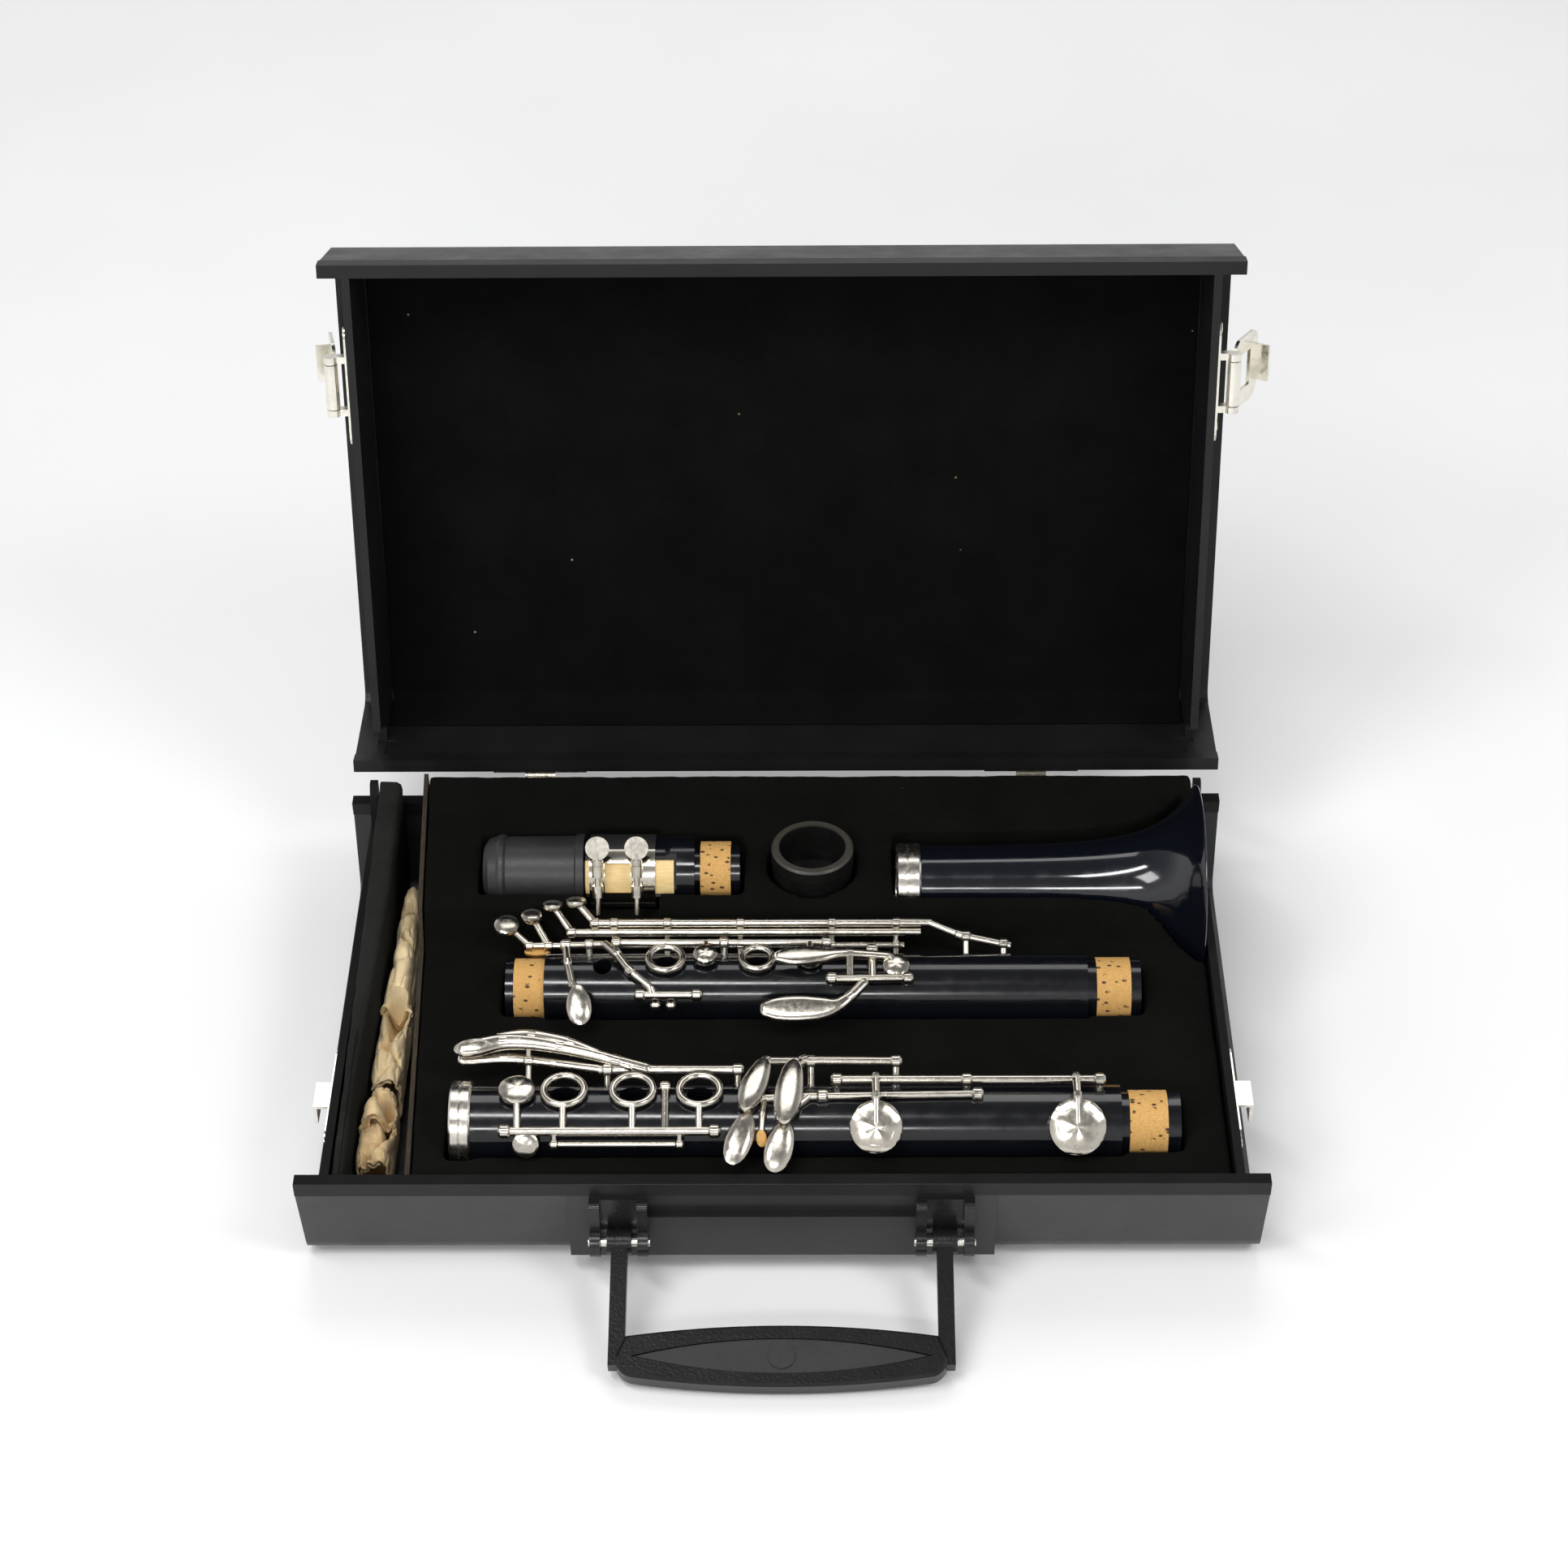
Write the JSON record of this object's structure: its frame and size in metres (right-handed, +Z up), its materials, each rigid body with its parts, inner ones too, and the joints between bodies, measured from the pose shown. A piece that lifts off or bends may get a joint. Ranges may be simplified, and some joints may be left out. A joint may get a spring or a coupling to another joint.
{
  "type": "clarinet case",
  "caption": "Hard rectangular clarinet case with a hinged lid, side latches, a folding carrying handle and a fitted tray holding the taken-apart instrument.",
  "frame": {"origin": "centre of the base's footprint, on the floor", "axes": "+X to the right along the case, +Y away from the handle towards the hinges, +Z up"},
  "size_m": [0.3534, 0.3515, 0.2529],
  "materials": {
    "shell_plastic": "satin",
    "plush": "matte",
    "board": "matte",
    "foot_rubber": "matte",
    "plated_steel": "polished",
    "handle_plastic": "satin",
    "handle_insert": "matte",
    "cloth": "matte",
    "instrument_black": "satin",
    "cap_plastic": "satin",
    "nickel": "polished",
    "cork": "matte",
    "cane": "satin"
  },
  "bodies": {
    "base": {"barrel": "instrument_black", "base_shell": "shell_plastic", "bell": "instrument_black", "bell_ring": "nickel", "bracket_left": "shell_plastic", "bracket_right": "shell_plastic", "catch_left": "plated_steel", "catch_right": "plated_steel", "cloth_fold": "cloth", "cloth_roll": "cloth", "divider_board": "board", "end_padding": "plush", "foot_front_left": "foot_rubber", "foot_front_right": "foot_rubber", "foot_rear_left": "foot_rubber", "foot_rear_right": "foot_rubber", "handle_pin_left": "plated_steel", "handle_pin_right": "plated_steel", "hinge_leaf_base_left": "plated_steel", "hinge_leaf_base_right": "plated_steel", "hinge_pin_left": "plated_steel", "hinge_pin_right": "plated_steel", "ligature": "nickel", "ligature_screw_left": "nickel", "ligature_screw_right": "nickel", "lower_body": "instrument_black", "lower_cork": "cork", "lower_long_levers": "nickel", "lower_pad_keys": "nickel", "lower_pinky_keys": "nickel", "lower_ring_keys": "nickel", "lower_socket_ring": "nickel", "mouthpiece": "instrument_black", "mouthpiece_cap": "cap_plastic", "mouthpiece_cork": "cork", "reed": "cane", "tray_insert": "plush", "upper_body": "instrument_black", "upper_cork_left": "cork", "upper_cork_right": "cork", "upper_left_keys": "nickel", "upper_ring_keys": "nickel", "upper_side_keys": "nickel", "upper_throat_keys": "nickel"},
    "lid": {"hinge_leaf_lid_left": "plated_steel", "hinge_leaf_lid_right": "plated_steel", "latch_pin_left": "plated_steel", "latch_pin_right": "plated_steel", "latch_plate_left": "plated_steel", "latch_plate_right": "plated_steel", "lid_lining": "plush", "lid_shell": "shell_plastic"},
    "hasp_left": {"hasp_left": "plated_steel"},
    "hasp_right": {"hasp_right": "plated_steel"},
    "handle": {"handle": "handle_plastic", "handle_panel": "handle_insert"}
  },
  "joints": [
    {"name": "lid_hinge", "type": "hinge", "parent": "base", "child": "lid", "pos_m": [0, 0.1094, 0.044], "axis": [1, 0, 0], "range_deg": [0, 101]},
    {"name": "latch_left", "type": "hinge", "parent": "lid", "child": "hasp_left", "pos_m": [-0.1648, 0.14479, 0.20511], "axis": [0, 0.1908, 0.9816], "range_deg": [0, 168]},
    {"name": "latch_right", "type": "hinge", "parent": "lid", "child": "hasp_right", "pos_m": [0.1648, 0.14479, 0.20511], "axis": [0, -0.1908, -0.9816], "range_deg": [0, 150]},
    {"name": "handle_swing", "type": "hinge", "parent": "base", "child": "handle", "pos_m": [0, -0.1089, 0.0215], "axis": [-1, 0, 0], "range_deg": [0, 106]}
  ]
}
